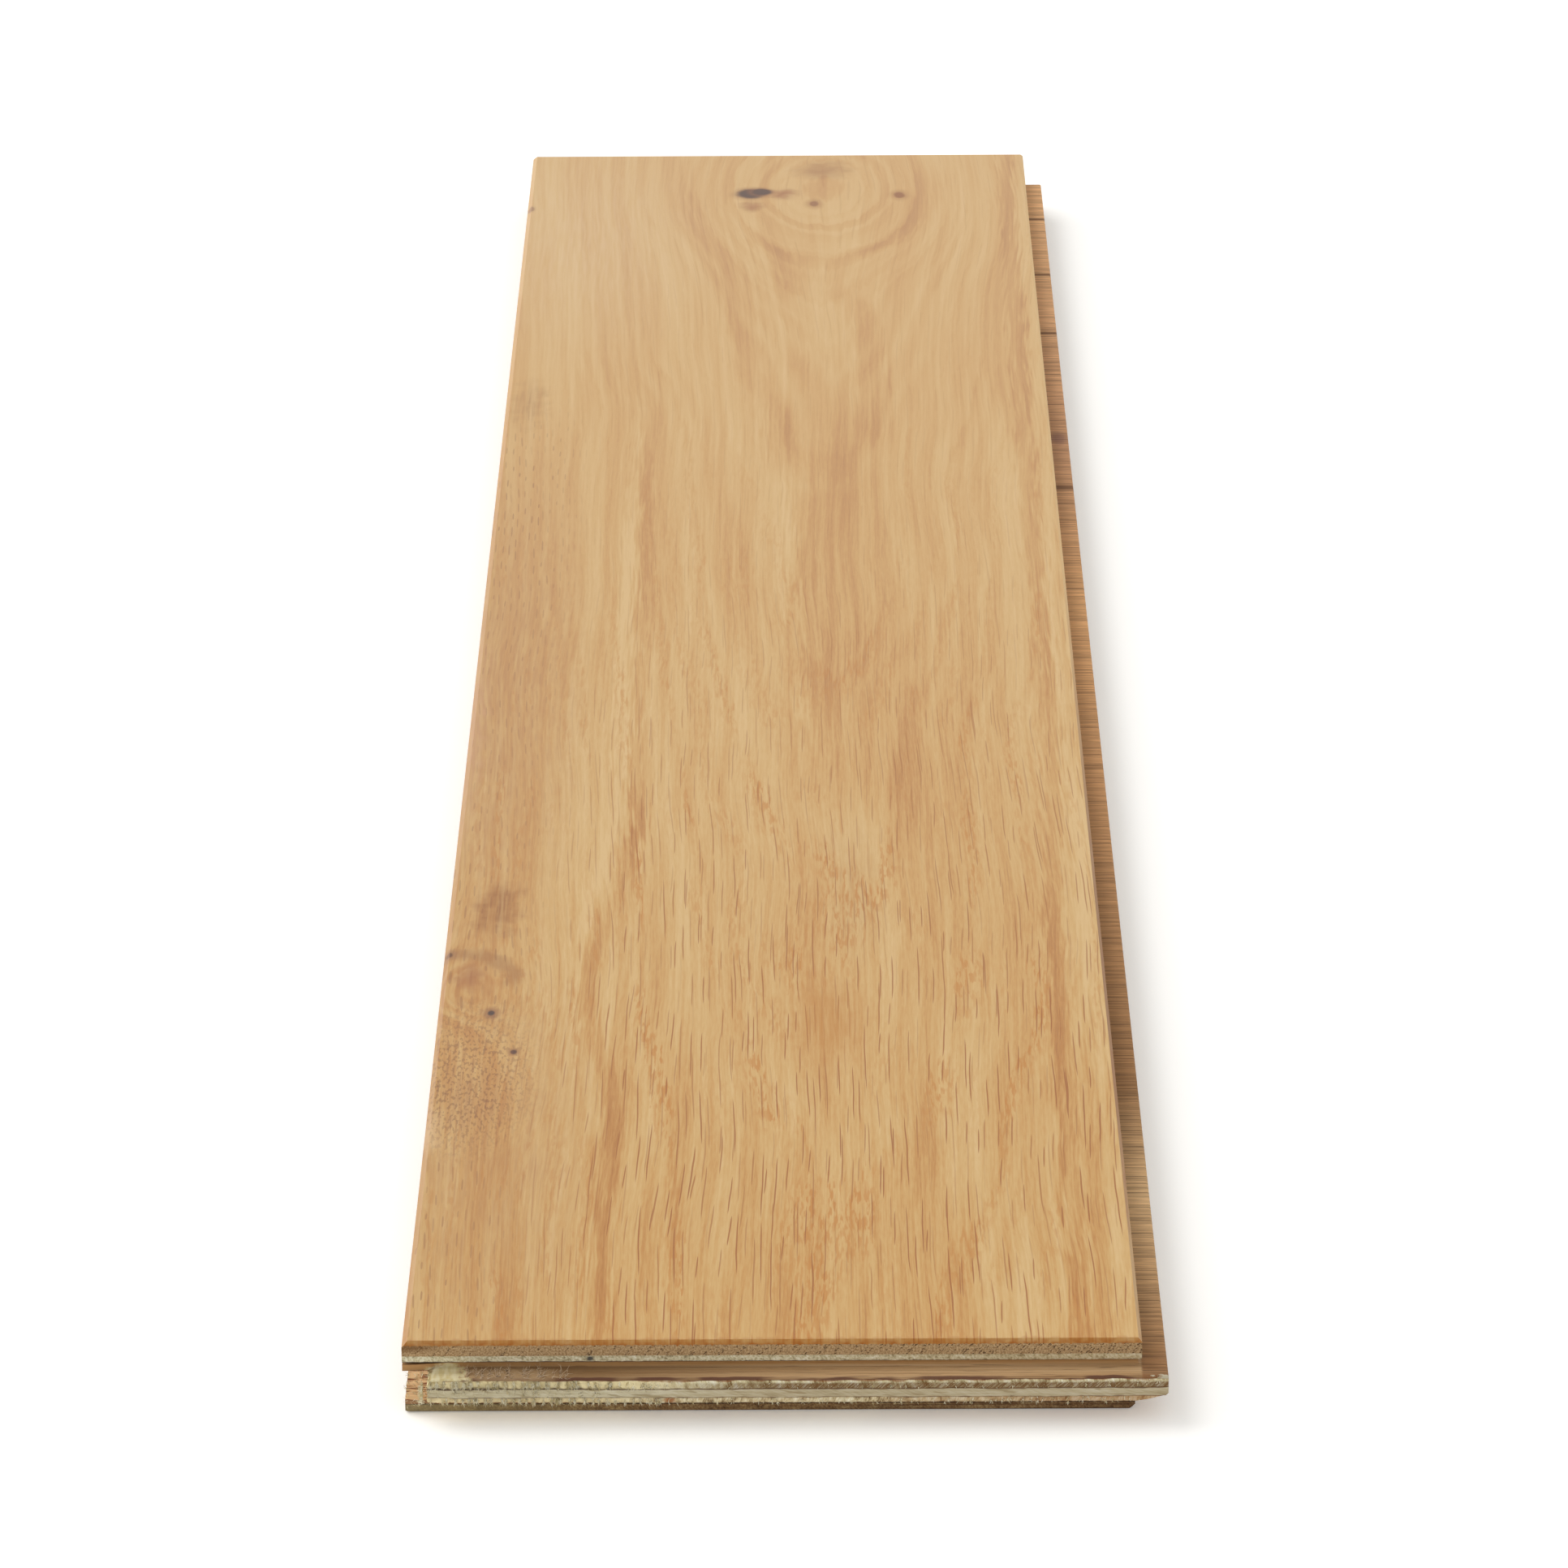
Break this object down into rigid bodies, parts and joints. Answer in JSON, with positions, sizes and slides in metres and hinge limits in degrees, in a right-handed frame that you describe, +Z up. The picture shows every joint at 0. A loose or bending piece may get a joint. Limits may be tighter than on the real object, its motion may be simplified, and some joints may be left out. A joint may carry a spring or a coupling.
{
  "type": "engineered oak floorboard",
  "caption": "Wide engineered oak floorboard: a thick sawn oak face on a cross-laminated plywood core, bevelled face edges, tongue and groove along the sides and the ends.",
  "frame": {"origin": "centre of the bounding box, tongues included, at the underside", "axes": "+X across the face towards the tongued side, +Y along the board from the tongued front end to the grooved rear end, +Z up out of the walking face"},
  "size_m": [0.1966, 1.0866, 0.02],
  "materials": {
    "oak_face": "clear satin lacquer on sanded oak",
    "pale_ply": "raw sawn veneer edges",
    "brown_ply": "raw sawn veneer edges",
    "backing_ply": "raw sanded veneer"
  },
  "bodies": {
    "root": {"oak_wear_layer": "oak_face", "ply_1_lengthwise": "pale_ply", "ply_2_crosswise": "brown_ply", "ply_3_lengthwise": "pale_ply", "ply_4_crosswise": "pale_ply", "ply_5_lengthwise": "pale_ply", "ply_6_crosswise": "brown_ply", "backing_ply": "backing_ply"}
  },
  "joints": []
}
